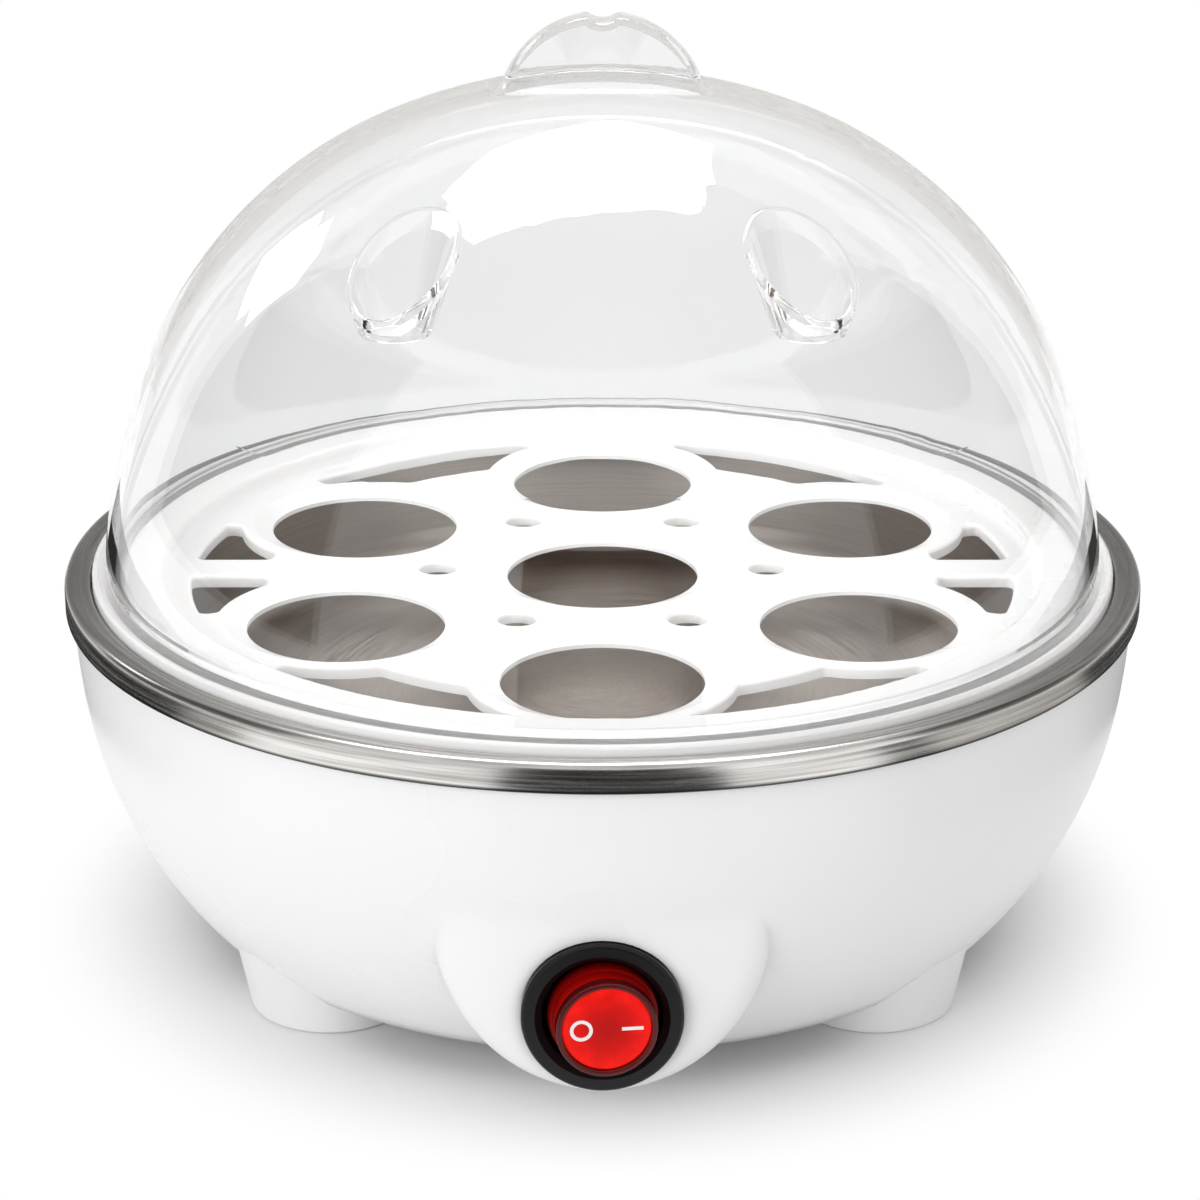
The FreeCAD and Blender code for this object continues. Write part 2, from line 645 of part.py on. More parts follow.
def make_switch_terminals():
    """Three blades at the back of the switch."""
    blades = []
    for x in (-TERMINAL_OFFSET, 0, TERMINAL_OFFSET):
        blades.append(block((x - BLADE_THICK / 2, BARREL_BACK_Y, SWITCH_Z - BLADE_WIDTH / 2),
                            (x + BLADE_THICK / 2, BARREL_BACK_Y + BLADE_LENGTH, SWITCH_Z + BLADE_WIDTH / 2)))
    return Part.makeCompound(blades)


def make_cord_gland():
    """Round cord inlet: a flange and short nose outside the housing, a barrel through it."""
    inner_y, flange_y, nose_y = 63.5, 82.5, 87.5
    flange_r, nose_root_r, nose_r, edge_round = 7.6, 5.9, 4.9, 0.6
    gland = spun(outline([
        (GLAND_BORE_R, inner_y), (GLAND_BARREL_R, inner_y), (GLAND_BARREL_R, GLAND_PAD_Y),
        (flange_r, GLAND_PAD_Y), (flange_r, flange_y, edge_round), (nose_root_r, flange_y, edge_round),
        (nose_r, nose_y, edge_round), (GLAND_BORE_R, nose_y)]))
    gland.rotate(ORIGIN, FreeCAD.Vector(1, 0, 0), -90)
    gland.translate(UP * GLAND_Z)
    return gland


def make_gland_nut():
    """Ring nut on the gland's barrel inside the housing."""
    nut_r, nut_low_y = 7.2, 64.5
    nut = rod(nut_r, nut_low_y, GLAND_SEAT_Y, z=GLAND_Z)
    return nut.cut(rod(GLAND_BARREL_R + RUNNING_GAP, 0, FAR, z=GLAND_Z))


def egg_centres():
    """The middle hole, then six round it with one towards the switch."""
    return [ORIGIN] + [polar(EGG_PITCH_R, 60.0 * index - 90.0) for index in range(6)]


def tray_opening(angle, spoked):
    """The gap between two egg rings and the tray's border, with rounded corners."""
    ring_angle = 30.0
    low_z, high_z = PLATE_TOP_Z - 2 * PLATE_THICK, PLATE_TOP_Z + PLATE_THICK
    band = disc(OPENING_OUTER_R, low_z, high_z).cut(disc(OPENING_INNER_R, 0, FAR))
    right, left = polar(FAR, -OPENING_HALF_ANGLE, low_z), polar(FAR, OPENING_HALF_ANGLE, low_z)
    triangle = Part.makePolygon([UP * low_z, right, left, UP * low_z])
    wedge = Part.Face(triangle).extrude(UP * (high_z - low_z))
    gap = band.common(wedge)
    for side in (-1, 1):
        centre = polar(EGG_PITCH_R, side * ring_angle)
        gap = gap.cut(disc(EGG_RING_R, 0, FAR, centre.x, centre.y))
    if spoked:
        gap = gap.cut(block((0, -SPOKE_WIDTH / 2, 0), (FAR, SPOKE_WIDTH / 2, FAR)))
    rounded = []
    for solid in gap.Solids:
        upright = [edge for edge in solid.Edges if edge.BoundBox.ZLength > PLATE_THICK]
        rounded.append(turned(solid.makeFillet(OPENING_CORNER_R, upright), angle))
    return rounded


def make_egg_tray():
    """Tray: stepped flange that seats the lid, a short inner wall and a plate with egg rings and gaps."""
    wall_thick = 1.6
    wall_inner_r = TRAY_WALL_R - wall_thick
    skirt_inner_r = TRAY_R - wall_thick
    plate_low_z = PLATE_TOP_Z - PLATE_THICK
    flange_under_z, lip_z, band_z = 59.6, 61.9, 61.7
    seat_inner_r, seat_outer_r, seat_slope = 76.4, 80.3, 0.4
    small_round, edge_round, band_round, plate_round = 0.2, 0.5, 1.0, 1.4
    tray = spun(outline([
        (0, plate_low_z), (TRAY_WALL_R, plate_low_z, edge_round), (TRAY_WALL_R, flange_under_z, edge_round),
        (skirt_inner_r, flange_under_z, edge_round), (skirt_inner_r, TRAY_REST_Z),
        (TRAY_R, TRAY_REST_Z, small_round), (TRAY_R, lip_z, edge_round),
        (seat_outer_r + seat_slope, lip_z, small_round),
        (seat_outer_r, TRAY_SEAT_Z, small_round), (seat_inner_r, TRAY_SEAT_Z, small_round),
        (seat_inner_r - seat_slope, lip_z, edge_round), (wall_inner_r, band_z, band_round),
        (wall_inner_r, PLATE_TOP_Z, plate_round), (0, PLATE_TOP_Z)]))
    cuts = []
    for index in range(6):
        angle = 60.0 * index
        cuts += tray_opening(angle, spoked=index in (0, 3))
        steam = polar(EGG_PITCH_R / math.sqrt(3), angle)
        cuts.append(disc(STEAM_HOLE_R, 0, FAR, steam.x, steam.y))
    tray = tray.cut(Part.makeCompound(cuts))
    opening_edges = []
    for edge in tray.Edges:
        box = edge.BoundBox
        level_with_plate = box.ZLength < RUNNING_GAP and abs(box.ZMin - PLATE_TOP_Z) < RUNNING_GAP
        if level_with_plate and math.hypot(box.Center.x, box.Center.y) > STEAM_HOLE_R:
            opening_edges.append(edge)
    tray = tray.makeFillet(OPENING_EDGE_ROUND, opening_edges)
    holes = []
    for centre in egg_centres():
        dish_start = centre + UP * (PLATE_TOP_Z - EGG_DISH_DEPTH)
        holes.append(disc(EGG_HOLE_R, 0, FAR, centre.x, centre.y))
        holes.append(Part.makeCone(EGG_HOLE_R, EGG_DISH_R, EGG_DISH_DEPTH, dish_start))
    return tray.cut(Part.makeCompound(holes))


def dome_form(inset):
    """The lid's domed outside, filled down to its seat, drawn in or swelled by inset."""
    top = (0.0, LID_TOP_Z - inset)
    arcs = [(radius - inset, turn) for radius, turn in LID_ARCS]
    edges, (end_r, end_z), heading = tangent_arcs(top, 0.0, arcs)
    base_r = end_r + (end_z - TRAY_SEAT_Z) / math.tan(math.radians(-heading))
    corners = [(end_r, end_z), (base_r, TRAY_SEAT_Z), (0, TRAY_SEAT_Z), top]
    points = [section_point(*corner) for corner in corners]
    for start, end in zip(points, points[1:]):
        edges.append(straight(start, end))
    return spun(Part.Wire(edges)), base_r


def lens(half_length, half_width, z):
    """A pointed oval in a level plane, made of two arcs."""
    left, right = FreeCAD.Vector(-half_length, 0, z), FreeCAD.Vector(half_length, 0, z)
    front, back = FreeCAD.Vector(0, -half_width, z), FreeCAD.Vector(0, half_width, z)
    return Part.Wire([Part.Arc(left, front, right).toShape(), Part.Arc(right, back, left).toShape()])


def fin_form(inset):
    """The handle's arched fin, filled, with a small notch at its top."""
    narrowest = 0.6
    high_half_width = max(HANDLE_HIGH_HALF_WIDTH - inset, narrowest)
    low = lens(HANDLE_HALF_LENGTH - inset, HANDLE_LOW_HALF_WIDTH - inset, HANDLE_LOW_Z)
    high = lens(HANDLE_HALF_LENGTH - inset, high_half_width, HANDLE_HIGH_Z)
    wedge = Part.makeLoft([low, high], True, True)
    arch = rod(HANDLE_ARCH_R - inset, -FAR, FAR, z=HANDLE_TOP_Z - HANDLE_ARCH_R)
    notch_z = HANDLE_TOP_Z + HANDLE_NOTCH_R - HANDLE_NOTCH_DEPTH
    return wedge.common(arch).cut(rod(HANDLE_NOTCH_R + inset, -FAR, FAR, z=notch_z))


def rounded_fin():
    """The fin with its notch's corners and its whole top outline rounded."""
    fin = fin_form(0)
    notch_corners = []
    for edge in fin.Edges:
        box = edge.BoundBox
        if box.ZMin > LID_TOP_Z and max(box.XLength, box.ZLength) < RUNNING_GAP:
            notch_corners.append(edge)
    fin = fin.makeFillet(HANDLE_NOTCH_ROUND, notch_corners)
    top_outline = []
    for edge in fin.Edges:
        box = edge.BoundBox
        beside_middle = abs(box.Center.y) > CLEARANCE
        if box.ZMax > HANDLE_LOW_Z + HANDLE_WALL and box.XLength > CLEARANCE and beside_middle:
            top_outline.append(edge)
    return fin.makeFillet(HANDLE_EDGE_ROUND, top_outline)


def dome_height(radius):
    """How high the dome's crown stands at a distance from its axis."""
    crown_r = LID_ARCS[0][0]
    return LID_TOP_Z - crown_r + math.sqrt(crown_r ** 2 - radius ** 2)


def dome_with_fin(outside):
    """The filled dome with its handle, joined by a soft fillet."""
    joined = united([outside, rounded_fin()])
    seam = []
    for edge in joined.Edges:
        middle = edge.valueAt((edge.FirstParameter + edge.LastParameter) / 2)
        radius = math.hypot(middle.x, middle.y)
        near_handle = RUNNING_GAP < radius < HANDLE_HALF_LENGTH
        if near_handle and abs(middle.z - dome_height(radius)) < RUNNING_GAP:
            seam.append(edge)
    return joined.makeFillet(HANDLE_SEAM_ROUND, seam)


def vent_cone(inset, side):
    """An upright flaring cone on a vent's axis, drawn in by inset."""
    height = VENT_TOP_Z - VENT_LOW_Z
    low_r = VENT_LOW_R - inset
    start = FreeCAD.Vector(side * VENT_X, VENT_Y, VENT_LOW_Z)
    return Part.makeCone(low_r, low_r + VENT_SLOPE * height, height, start)


def make_vent(side):
    """A steam funnel: a flaring tube with rounded edges whose mouth stands a little proud of the dome."""
    proud, _ = dome_form(-VENT_LIP)
    funnel = vent_cone(0, side).common(proud).cut(vent_cone(VENT_WALL, side))
    edges = [edge for edge in funnel.Edges if edge.Curve.TypeId != "Part::GeomLine"]
    return funnel.makeFillet(VENT_EDGE_ROUND, edges)


def make_lid_dome():
    """One clear moulding: dome, hollow fin handle and two funnel-shaped steam vents."""
    outside, base_r = dome_form(0)
    inside, _ = dome_form(LID_WALL)
    foot = disc(base_r, TRAY_SEAT_Z, TRAY_SEAT_Z + LID_FOOT_HEIGHT).cut(disc(LID_FOOT_R, 0, FAR))
    foot = foot.common(outside)
    shell = dome_with_fin(outside).cut(united([inside, fin_form(HANDLE_WALL)]))
    pieces = [shell, foot]
    for side in (-1, 1):
        pieces[0] = pieces[0].cut(vent_cone(VENT_WALL / 2, side))
        pieces.append(make_vent(side))
    return united(pieces)


MAKERS = {
    "housing_shell": make_housing,
    "bottom_cover": make_bottom_cover,
    "cover_screws": make_cover_screws,
    "trim_ring": make_trim_ring,
    "heating_pan": make_heating_pan,
    "pan_seal": make_pan_seal,
    "pan_studs": make_pan_studs,
    "pan_nuts": make_pan_nuts,
    "heater_spreader": make_heater_spreader,
    "heater_tube": make_heater_tube,
    "heater_end_seals": make_heater_end_seals,
    "heater_pins": make_heater_pins,
    "heater_clamp": make_heater_clamp,
    "thermostat_flange": make_thermostat_flange,
    "thermostat_body": make_thermostat_body,
    "thermostat_terminals": make_thermostat_terminals,
    "thermostat_screws": make_thermostat_screws,
    "thermal_fuse": make_thermal_fuse,
    "switch_body": make_switch_body,
    "switch_rocker": make_switch_rocker,
    "rocker_marks": make_rocker_marks,
    "switch_lamp": make_switch_lamp,
    "switch_terminals": make_switch_terminals,
    "cord_gland": make_cord_gland,
    "gland_nut": make_gland_nut,
    "egg_tray": make_egg_tray,
    "lid_dome": make_lid_dome,
}


def main():
    os.makedirs("parts", exist_ok=True)
    shapes = {name: maker() for name, maker in MAKERS.items()}
    for name, centre in foot_centres().items():
        shapes["foot_" + name] = make_foot(centre)
    for name, points in lead_routes().items():
        shapes[name] = make_lead(points)
    for name, shape in shapes.items():
        print(name, "solids", len(shape.Solids), "valid", shape.isValid(), "volume", round(shape.Volume, 1))
        shape.exportStep("parts/" + name + ".step")


main()
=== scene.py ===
import json
import math

import bpy
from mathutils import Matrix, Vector


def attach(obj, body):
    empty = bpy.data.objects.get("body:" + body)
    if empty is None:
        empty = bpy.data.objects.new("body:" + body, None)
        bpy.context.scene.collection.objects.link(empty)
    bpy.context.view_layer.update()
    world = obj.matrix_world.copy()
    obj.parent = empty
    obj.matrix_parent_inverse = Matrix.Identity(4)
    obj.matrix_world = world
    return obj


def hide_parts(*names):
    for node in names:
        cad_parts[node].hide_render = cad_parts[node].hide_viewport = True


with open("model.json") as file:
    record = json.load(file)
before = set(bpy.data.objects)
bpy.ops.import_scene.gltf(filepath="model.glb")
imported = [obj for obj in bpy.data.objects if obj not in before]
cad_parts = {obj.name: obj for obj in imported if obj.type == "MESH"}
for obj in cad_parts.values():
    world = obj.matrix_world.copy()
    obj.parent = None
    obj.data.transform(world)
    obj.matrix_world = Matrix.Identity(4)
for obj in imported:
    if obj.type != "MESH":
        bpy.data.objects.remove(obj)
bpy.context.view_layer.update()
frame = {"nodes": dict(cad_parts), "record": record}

nodes = frame["nodes"]
scene = bpy.context.scene


# Materials: lengths in metres, noise scales per metre

MICRON = 0.000001
materials = {}


class Surface:
    """A material with a Principled shader, and short names for the nodes that feed it."""

    def __init__(self, name, **values):
        self.material = bpy.data.materials.new(name)
        self.material.use_nodes = True
        self.tree = self.material.node_tree
        self.shader = self.tree.nodes["Principled BSDF"]
        self.place = self.add("TexCoord").outputs["Object"]
        for words, value in values.items():
            self.shader.inputs[words.replace("_", " ")].default_value = value
        materials[name] = self.material

    def add(self, kind, inputs=None, **settings):
        """New node; inputs maps a socket's name or number to a value, or to a socket to link from."""
        made = self.tree.nodes.new("ShaderNode" + kind)
        for setting, value in settings.items():
            setattr(made, setting, value)
        for key, value in (inputs or {}).items():
            if isinstance(value, bpy.types.NodeSocket):
                self.tree.links.new(value, made.inputs[key])
            else:
                made.inputs[key].default_value = value
        return made

    def feed(self, socket, source):
        """Links source to a socket of the shader."""
        self.tree.links.new(source, self.shader.inputs[socket])

    def noise(self, scale, detail, vector=None):
        """Noise over the object's own coordinates, or over vector."""
        made = self.add("TexNoise", {"Vector": vector or self.place, "Scale": scale, "Detail": detail})
        return made.outputs["Fac"]

    def calculate(self, operation, first, second=0.0):
        """Result of a math operation on sockets or numbers."""
        return self.add("Math", {0: first, 1: second}, operation=operation).outputs[0]

    def scaled(self, vector, share):
        """Vector or colour times share."""
        return self.add("VectorMath", {0: vector, "Scale": share}, operation="SCALE").outputs["Vector"]

    def spread(self, factor, low, high, start=0.3, end=0.7, shape="LINEAR"):
        """Factor from start to end becomes low to high."""
        inputs = {"Value": factor, "From Min": start, "From Max": end, "To Min": low, "To Max": high}
        return self.add("MapRange", inputs, interpolation_type=shape).outputs["Result"]

    def colours(self, factor, low, high, start=0.3, end=0.7):
        """Factor from start to end becomes colour low to colour high."""
        ramp = self.add("ValToRGB", {"Fac": factor})
        for element, position, colour in zip(ramp.color_ramp.elements, (start, end), (low, high)):
            element.position = position
            element.color = (*colour, 1.0)
        return ramp.outputs["Color"]

    def relief(self, height, depth):
        """Surface normal with height laid on it."""
        return self.add("Bump", {"Height": height, "Distance": depth, "Strength": 1.0}).outputs["Normal"]

    def from_axis(self):
        """Offset from the upright axis, its length, and the height along the axis."""
        flat = {0: self.place, 1: (1.0, 1.0, 0.0)}
        offset = self.add("VectorMath", flat, operation="MULTIPLY").outputs["Vector"]
        radius = self.add("VectorMath", {0: offset}, operation="LENGTH").outputs["Value"]
        height = self.add("SeparateXYZ", {0: self.place}).outputs["Z"]
        return offset, radius, height

    def round_grain(self, along, across):
        """Coordinates drawn out along circles round the upright axis: along per radian, across per metre."""
        offset, radius, height = self.from_axis()
        unit = self.add("VectorMath", {0: offset}, operation="NORMALIZE").outputs["Vector"]
        around = self.scaled(unit, along)
        track = self.calculate("MULTIPLY", self.calculate("ADD", radius, height), across)
        lifted = self.add("CombineXYZ", {"Z": track}).outputs["Vector"]
        return self.add("VectorMath", {0: around, 1: lifted}, operation="ADD").outputs["Vector"]


def shaded(colour, share):
    """The same hue at a share of its lightness."""
    return tuple(part * share for part in colour)


def moulded(name, colour, gloss, grain, clouding=0.97, softened=0.0, **values):
    """Clouded plastic with a range of gloss, a (scale, depth) of grain, and edges softened over a width."""
    cloud_scale, cloud_detail, grain_detail, edge_samples = 12.0, 1.0, 3.0, 8
    grain_scale, grain_depth = grain
    surface = Surface(name, **values)
    cloud = surface.noise(cloud_scale, cloud_detail)
    bumps = surface.noise(grain_scale, grain_detail)
    surface.feed("Base Color", surface.colours(cloud, shaded(colour, clouding), colour))
    surface.feed("Roughness", surface.spread(bumps, *gloss))
    if grain_depth:
        surface.feed("Normal", surface.relief(bumps, grain_depth))
    if softened:
        edges = surface.add("Bevel", {"Radius": softened}, samples=edge_samples)
        surface.feed("Normal", edges.outputs["Normal"])


def brushed(name, dark, light, gloss, across, depth, share=None, **values):
    """Metal brushed in circles round the upright axis; share(surface), where given, is how much of its tone
    it keeps under painted shade.
    """
    along, scale, detail = 3.0, 1.0, 2.0
    surface = Surface(name, Metallic=1.0, **values)
    lines = surface.noise(scale, detail, surface.round_grain(along, across))
    tone = surface.colours(lines, dark, light)
    surface.feed("Base Color", surface.scaled(tone, share(surface)) if share else tone)
    surface.feed("Roughness", surface.spread(lines, *gloss))
    surface.feed("Normal", surface.relief(lines, depth))


def trim_painted_shade(surface):
    """Painted shade on the trim ring: less of its tone on its top towards its sides, and least along its
    lower hem, where it paints a shadow.
    """
    hem, top, sideways = (0.0567, 0.0571), (0.0600, 0.0606), (0.025, 0.084)
    hem_shadow_share, front_painted_shade, side_painted_shade = 0.12, 0.35, 0.84
    parts = surface.add("SeparateXYZ", {0: surface.place}).outputs
    # Painted shade on the top, growing towards the sides, and a painted shadow along the hem
    sideways_shade = surface.spread(surface.calculate("ABSOLUTE", parts["X"]), front_painted_shade, side_painted_shade, *sideways)
    top_shade = surface.calculate("MULTIPLY", sideways_shade, surface.spread(parts["Z"], 0.0, 1.0, *top))
    unshaded = surface.calculate("SUBTRACT", 1.0, top_shade)
    return surface.calculate("MULTIPLY", unshaded, surface.spread(parts["Z"], hem_shadow_share, 1.0, *hem))


def plated(name, dark, light, gloss, scale):
    """Small metal parts with a slightly mottled plating."""
    detail = 4.0
    surface = Surface(name, Metallic=1.0)
    mottle = surface.noise(scale, detail)
    surface.feed("Base Color", surface.colours(mottle, dark, light))
    surface.feed("Roughness", surface.spread(mottle, *gloss))


def clear_plastic(name):
    """Clear moulding, faintly uneven in tone, with its gloss in the coat."""
    scale, detail = 60.0, 1.0
    low, high = (0.930, 0.932, 0.935), (0.940, 0.942, 0.945)
    surface = Surface(name, Transmission_Weight=1.0, Roughness=0.0, IOR=1.1,
                      Coat_Weight=1.0, Coat_IOR=1.5, Coat_Roughness=0.0)
    surface.feed("Base Color", surface.colours(surface.noise(scale, detail), low, high))


def lit_red(name):
    """Red plastic lit from behind: brightest at the face's edge, clouded in the middle, and darkened lower
    down by painted shade.
    """
    scale, detail, grain_depth = 500.0, 4.0, 10 * MICRON
    middle_r, edge_r = 0.001, 0.006
    face_foot, face_top, lit_top = 0.0048, 0.0056, 0.0054
    painted_shade_red, face_red = (0.03, 0.0005, 0.0005), (0.46, 0.004, 0.003)
    dim_glow, full_glow = (0.42, 0.002, 0.002), (1.0, 0.012, 0.006)
    middle_share, cloud_share, below_share, face_share = 0.2, 0.75, 0.02, 0.6
    gloss = (0.16, 0.28)
    surface = Surface(name, Specular_IOR_Level=0.12)
    _, radius, height = surface.from_axis()
    cloud = surface.noise(scale, detail)
    edge = surface.spread(radius, middle_share, 1.0, middle_r, edge_r)
    glow = surface.calculate("MULTIPLY", edge, surface.spread(cloud, cloud_share, 1.0))
    on_face = surface.spread(height, below_share, face_share, face_foot, face_top)
    depth = surface.spread(height, 0.0, 1.0, 0.0, lit_top)
    lamp = surface.calculate("MULTIPLY", glow, on_face)
    # Painted shade: the base colour darkens from the face down into the bezel's well, and the glow fades
    # with it
    surface.feed("Base Color", surface.colours(depth, painted_shade_red, face_red, 0.0, 0.9))
    surface.feed("Emission Color", surface.colours(glow, dim_glow, full_glow, 0.1, 0.9))
    surface.feed("Emission Strength", surface.calculate("MULTIPLY", lamp, depth))
    surface.feed("Roughness", surface.spread(cloud, *gloss))
    surface.feed("Normal", surface.relief(cloud, grain_depth))


def red_rim(name):
    """Dark red rim round the rocker's face, with a clear gloss."""
    scale, detail = 150.0, 1.0
    dark, light = (0.07, 0.003, 0.003), (0.11, 0.005, 0.005)
    gloss = (0.1, 0.2)
    surface = Surface(name, Specular_IOR_Level=0.1, Coat_Weight=0.4, Coat_IOR=1.5, Coat_Roughness=0.04)
    streak = surface.noise(scale, detail)
    surface.feed("Base Color", surface.colours(streak, dark, light))
    surface.feed("Roughness", surface.spread(streak, *gloss))


# Colour, ranges of roughness, grains and clouding that several materials share
PALE = (0.82, 0.82, 0.82)
SATIN, DULL = (0.35, 0.45), (0.4, 0.5)
NO_GRAIN, FINE_GRAIN = (20.0, 0.0), (1500.0, 10 * MICRON)
FAINT_CLOUDS = 0.985

moulded("white_housing", (0.90, 0.90, 0.905), (0.26, 0.30), NO_GRAIN, FAINT_CLOUDS, softened=0.005,
        Specular_IOR_Level=0.3)
moulded("tray_plastic", (0.92, 0.91, 0.905), (0.26, 0.34), NO_GRAIN, FAINT_CLOUDS,
        Subsurface_Weight=0.15, Subsurface_Scale=0.003)
moulded("white_cover", PALE, SATIN, FINE_GRAIN)
moulded("gland_white", PALE, SATIN, FINE_GRAIN)
moulded("switch_black", (0.006, 0.006, 0.007), (0.30, 0.42), (2600.0, 10 * MICRON), clouding=0.8,
        Specular_IOR_Level=0.3)
moulded("mark_white", (0.90, 0.88, 0.88), DULL, (3000.0, 5 * MICRON))
moulded("lamp_glass", (0.95, 0.60, 0.45), (0.05, 0.12), (900.0, 2 * MICRON), Transmission_Weight=0.8)
moulded("seal_silicone", (0.74, 0.72, 0.70), (0.55, 0.7), (900.0, 20 * MICRON))
moulded("thermostat_black", (0.05, 0.04, 0.035), (0.4, 0.55), FINE_GRAIN)
moulded("sleeve_white", (0.80, 0.79, 0.74), (0.7, 0.85), (2500.0, 80 * MICRON), clouding=0.9)
moulded("lead_insulation", (0.78, 0.76, 0.70), DULL, (900.0, 10 * MICRON))
# The trim ring's tone carries painted shade: darker on its top towards the sides, with a painted shadow
# along its hem
brushed("trim_steel", (0.46, 0.44, 0.42), (0.96, 0.94, 0.91), (0.20, 0.30), 2000.0, 3 * MICRON, trim_painted_shade,
        Anisotropic=0.6, Anisotropic_Rotation=0.25)
# The pan's brown tint is partly its steel and partly a painted reflection of the eggs above it
brushed("pan_steel", (0.45, 0.41, 0.37), (0.53, 0.49, 0.45), (0.28, 0.36), 1800.0, MICRON)
plated("terminal_brass", (0.55, 0.40, 0.18), (0.76, 0.60, 0.32), (0.22, 0.35), 700.0)
plated("screw_steel", (0.46, 0.46, 0.46), (0.66, 0.66, 0.66), (0.22, 0.36), 900.0)
plated("spreader_aluminium", (0.62, 0.62, 0.63), (0.78, 0.78, 0.79), (0.38, 0.5), 500.0)
plated("element_steel", (0.30, 0.29, 0.27), (0.50, 0.48, 0.45), (0.35, 0.5), 300.0)
clear_plastic("lid_clear")
lit_red("rocker_red")
red_rim("rocker_rim")

for entry in frame["record"]["subparts"]:
    slots = nodes[entry["node"]].data.materials
    slots.clear()
    slots.append(materials[entry["material_slot"]])

# The lid casts no shadow, and reflections look through it
nodes["lid_dome"].visible_shadow = False
nodes["lid_dome"].visible_glossy = False


# Round pieces built here in millimetres, with finer faces than their nodes have

MM = 0.001
SHARP_DEGREES = 40


def rounded(corners, steps=5):
    """Closed outline through (across, up, round) corners, each eased over its round."""
    points = []
    for index, (across, up, ease) in enumerate(corners):
        corner = Vector((across, up))
        if not ease:
            points.append(corner)
            continue
        before = Vector(corners[index - 1][:2])
        after = Vector(corners[(index + 1) % len(corners)][:2])
        start = corner + (before - corner).normalized() * ease
        end = corner + (after - corner).normalized() * ease
        for step in range(steps + 1):
            share = step / steps
            points.append(start.lerp(corner, share).lerp(corner.lerp(end, share), share))
    return points


def add_mesh(name, corners, faces, material):
    """New object in the scene."""
    mesh = bpy.data.meshes.new(name)
    mesh.from_pydata(corners, [], faces)
    mesh.materials.append(materials[material])
    piece = bpy.data.objects.new(name, mesh)
    scene.collection.objects.link(piece)
    return piece


def turned_piece(name, outline, material, steps):
    """Closed outline turned round the upright axis."""
    count = len(outline)
    corners, faces = [], []
    for step in range(steps):
        angle = 2 * math.pi * step / steps
        for point in outline:
            corners.append((point.x * math.cos(angle) * MM, point.x * math.sin(angle) * MM, point.y * MM))
    for step in range(steps):
        here, there = step * count, (step + 1) % steps * count
        for index in range(count):
            following = (index + 1) % count
            faces.append((here + index, there + index, there + following, here + following))
    piece = add_mesh(name, corners, faces, material)
    piece.data.shade_smooth()
    piece.data.set_sharp_from_angle(angle=math.radians(SHARP_DEGREES))
    return piece


def make_ring():
    """Folded trim band, as its node has it."""
    outer_r, wall_r, lip_r, inner_r = 85.99, 85.2, 82.35, 81.95
    hem, lip, fold, top_inside, top = 56.4, 58.4, 59.9, 60.5, 60.99
    edge_round, top_round, steps = 0.3, 1.4, 480
    outline = rounded([
        (outer_r, hem, edge_round), (outer_r, top, top_round), (inner_r, top_inside, edge_round),
        (inner_r, lip, 0), (lip_r, lip, 0), (lip_r, fold, 0), (wall_r, fold, 0), (wall_r, hem, 0)])
    ring = turned_piece("trim_band", outline, "trim_steel", steps)
    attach(ring, "base")
    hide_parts("trim_ring")


def make_rocker():
    """Rocker with its face set in a raised rim, tilted about the switch's pivot."""
    pivot, tilt, steps = (0.0, -0.0805, 0.020), 6.5, 96
    back, shoulder, ledge, face, crown = -3.5, 2.1, 4.3, 5.7, 6.17
    ball_r, ball_steps, hollow_r, hollow_top = 8.1, 8, 5.2, 3.1
    axis_r, face_r, rim_gap, rim_r = 0.01, 6.45, 0.05, 7.38
    face_round, rim_round = 0.3, 0.35
    levels = [back + (shoulder - back) * index / ball_steps for index in range(ball_steps + 1)]
    ball = [(math.sqrt(ball_r ** 2 - level ** 2), level, 0) for level in levels]
    body = rounded(
        [(axis_r, hollow_top, 0), (hollow_r, hollow_top, 0), (hollow_r, back, 0)] + ball +
        [(rim_r, shoulder, 0), (rim_r, ledge, 0), (face_r, ledge, 0),
         (face_r, face, face_round), (axis_r, face, 0)])
    inside_r = face_r + rim_gap
    rim = rounded([
        (inside_r, ledge, 0), (rim_r, ledge, 0), (rim_r, crown, rim_round), (inside_r, crown, rim_round)])
    for name, outline, material in (("rocker_body", body, "rocker_red"), ("rocker_rim", rim, "rocker_rim")):
        piece = turned_piece(name, outline, material, steps)
        piece.location = pivot
        piece.rotation_euler = (math.radians(90.0), 0.0, math.radians(tilt))
        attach(piece, "rocker")
        if name == "rocker_body":
            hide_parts("switch_rocker")


make_ring()
make_rocker()


# Camera, at the photograph's angle

CAMERA_PLACE = (0.0, -0.5463, 0.2590)
CAMERA_TARGET = (0.0, 0.0, 0.0531)
LENS, SENSOR = 108.1, 36.0
SHIFT = -0.0021
NEAREST = 0.01


def aim(thing, target):
    """Turns a camera or light at target."""
    thing.rotation_euler = (Vector(target) - thing.location).to_track_quat("-Z", "Y").to_euler()


camera = bpy.data.objects.new("camera", bpy.data.cameras.new("camera"))
scene.collection.objects.link(camera)
camera.location = CAMERA_PLACE
aim(camera, CAMERA_TARGET)
camera.data.lens = LENS
camera.data.sensor_width = SENSOR
camera.data.shift_x = SHIFT
camera.data.clip_start = NEAREST
scene.camera = camera


# Floor, world and lights

def direct_view(surface):
    """1 for rays that see a thing directly, in a mirror or through glass, else 0."""
    path = surface.add("LightPath").outputs
    seen = surface.calculate("MAXIMUM", path["Is Camera Ray"], path["Is Glossy Ray"])
    return surface.calculate("MAXIMUM", seen, path["Is Transmission Ray"])


